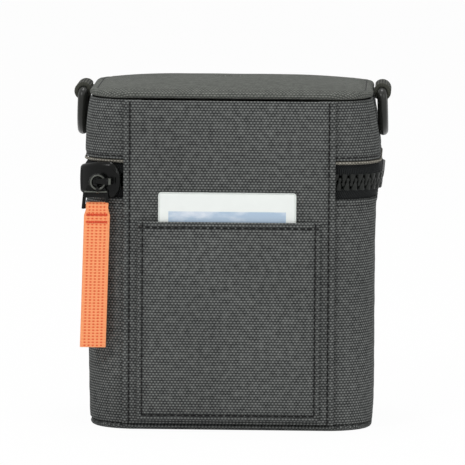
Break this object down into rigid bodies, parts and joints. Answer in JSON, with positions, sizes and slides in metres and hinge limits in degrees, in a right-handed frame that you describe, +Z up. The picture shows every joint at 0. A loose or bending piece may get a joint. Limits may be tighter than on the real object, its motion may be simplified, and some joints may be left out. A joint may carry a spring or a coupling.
{
  "type": "instant camera case",
  "caption": "Upright hard-sided zipped case for a small instant camera, with a back-hinged lid, a film pocket, a long webbing zip pull and D-rings for a strap.",
  "frame": {"origin": "middle of the flat underside", "axes": "+Z up, +Y towards the plain front, away from the back panel with the pocket and hinge, +X to the right of someone facing the back panel"},
  "size_m": [0.127, 0.0874, 0.1355],
  "materials": {
    "canvas": "matte basket-weave canvas",
    "foam": "matte",
    "lining": "matte",
    "board": "matte",
    "trim": "matte",
    "zip_tape": "matte",
    "zip_teeth": "satin",
    "enamel": "gloss",
    "black_webbing": "satin",
    "orange_webbing": "matte",
    "print": "satin"
  },
  "bodies": {
    "case": {"base_canvas": "canvas", "base_board": "board", "base_foam": "foam", "base_lining": "lining", "body_band_canvas": "canvas", "body_band_foam": "foam", "body_lining": "lining", "back_foam_lower": "foam", "back_panel_lower": "canvas", "back_panel_hinge": "canvas", "hinge_lining": "lining", "film_pocket": "canvas", "film_pocket_margin": "canvas", "zip_tape_lower": "zip_tape", "zip_teeth_lower": "zip_teeth", "zip_teeth_lower_left": "zip_teeth", "zip_teeth_lower_right": "zip_teeth"},
    "lid": {"lid_band_canvas": "canvas", "lid_hem_trim": "trim", "lid_band_foam": "foam", "lid_lining": "lining", "back_foam_upper": "foam", "back_panel_upper": "canvas", "lid_top_canvas": "canvas", "lid_top_foam": "foam", "lid_top_lining": "lining", "zip_tape_upper": "zip_tape", "zip_tape_upper_left": "zip_tape", "zip_teeth_upper": "zip_teeth", "zip_teeth_upper_left": "zip_teeth", "zip_teeth_upper_right": "zip_teeth", "strap_loop_left": "black_webbing", "strap_loop_right": "black_webbing"},
    "slider": {"slider_body": "enamel"},
    "ring": {"pull_ring": "enamel"},
    "frame": {"pull_frame": "enamel"},
    "strap": {"pull_strap": "orange_webbing"},
    "left_ring": {"d_ring_left": "enamel"},
    "right_ring": {"d_ring_right": "enamel"},
    "print": {"instant_print": "print"}
  },
  "joints": [
    {"name": "lid_hinge", "type": "hinge", "parent": "case", "child": "lid", "pos_m": [0, -0.0397, 0.0984], "axis": [1, 0, 0], "range_deg": [0, 110], "deforming": ["back_panel_hinge", "hinge_lining", "zip_tape_upper_left", "zip_teeth_lower_left", "zip_teeth_upper_left", "zip_teeth_lower_right", "zip_teeth_upper_right"]},
    {"name": "slider_travel", "type": "hinge", "parent": "case", "child": "slider", "pos_m": [-0.04375, -0.021, 0.0984], "axis": [0, 0, -1], "range_deg": [0, 40]},
    {"name": "pull_ring_swing", "type": "hinge", "parent": "slider", "child": "ring", "pos_m": [-0.0485, -0.04253, 0.0979], "axis": [0, 0, 1], "range_deg": [0, 60]},
    {"name": "pull_frame_swing", "type": "hinge", "parent": "ring", "child": "frame", "pos_m": [-0.05135, -0.04253, 0.09505], "axis": [1, 0, 0], "range_deg": [-100, 0]},
    {"name": "pull_strap_swing", "type": "hinge", "parent": "frame", "child": "strap", "pos_m": [-0.05225, -0.04103, 0.08825], "axis": [1, 0, 0], "range_deg": [-80, 0]},
    {"name": "d_ring_left_swing", "type": "hinge", "parent": "lid", "child": "left_ring", "pos_m": [-0.0603, 0, 0.1317], "axis": [0, 1, 0], "range_deg": [0, 110]},
    {"name": "d_ring_right_swing", "type": "hinge", "parent": "lid", "child": "right_ring", "pos_m": [0.0603, 0, 0.1317], "axis": [0, -1, 0], "range_deg": [0, 110]},
    {"name": "print_slide", "type": "slide", "parent": "case", "child": "print", "axis": [0, 0, 1], "range_m": [0, 0.075]}
  ]
}
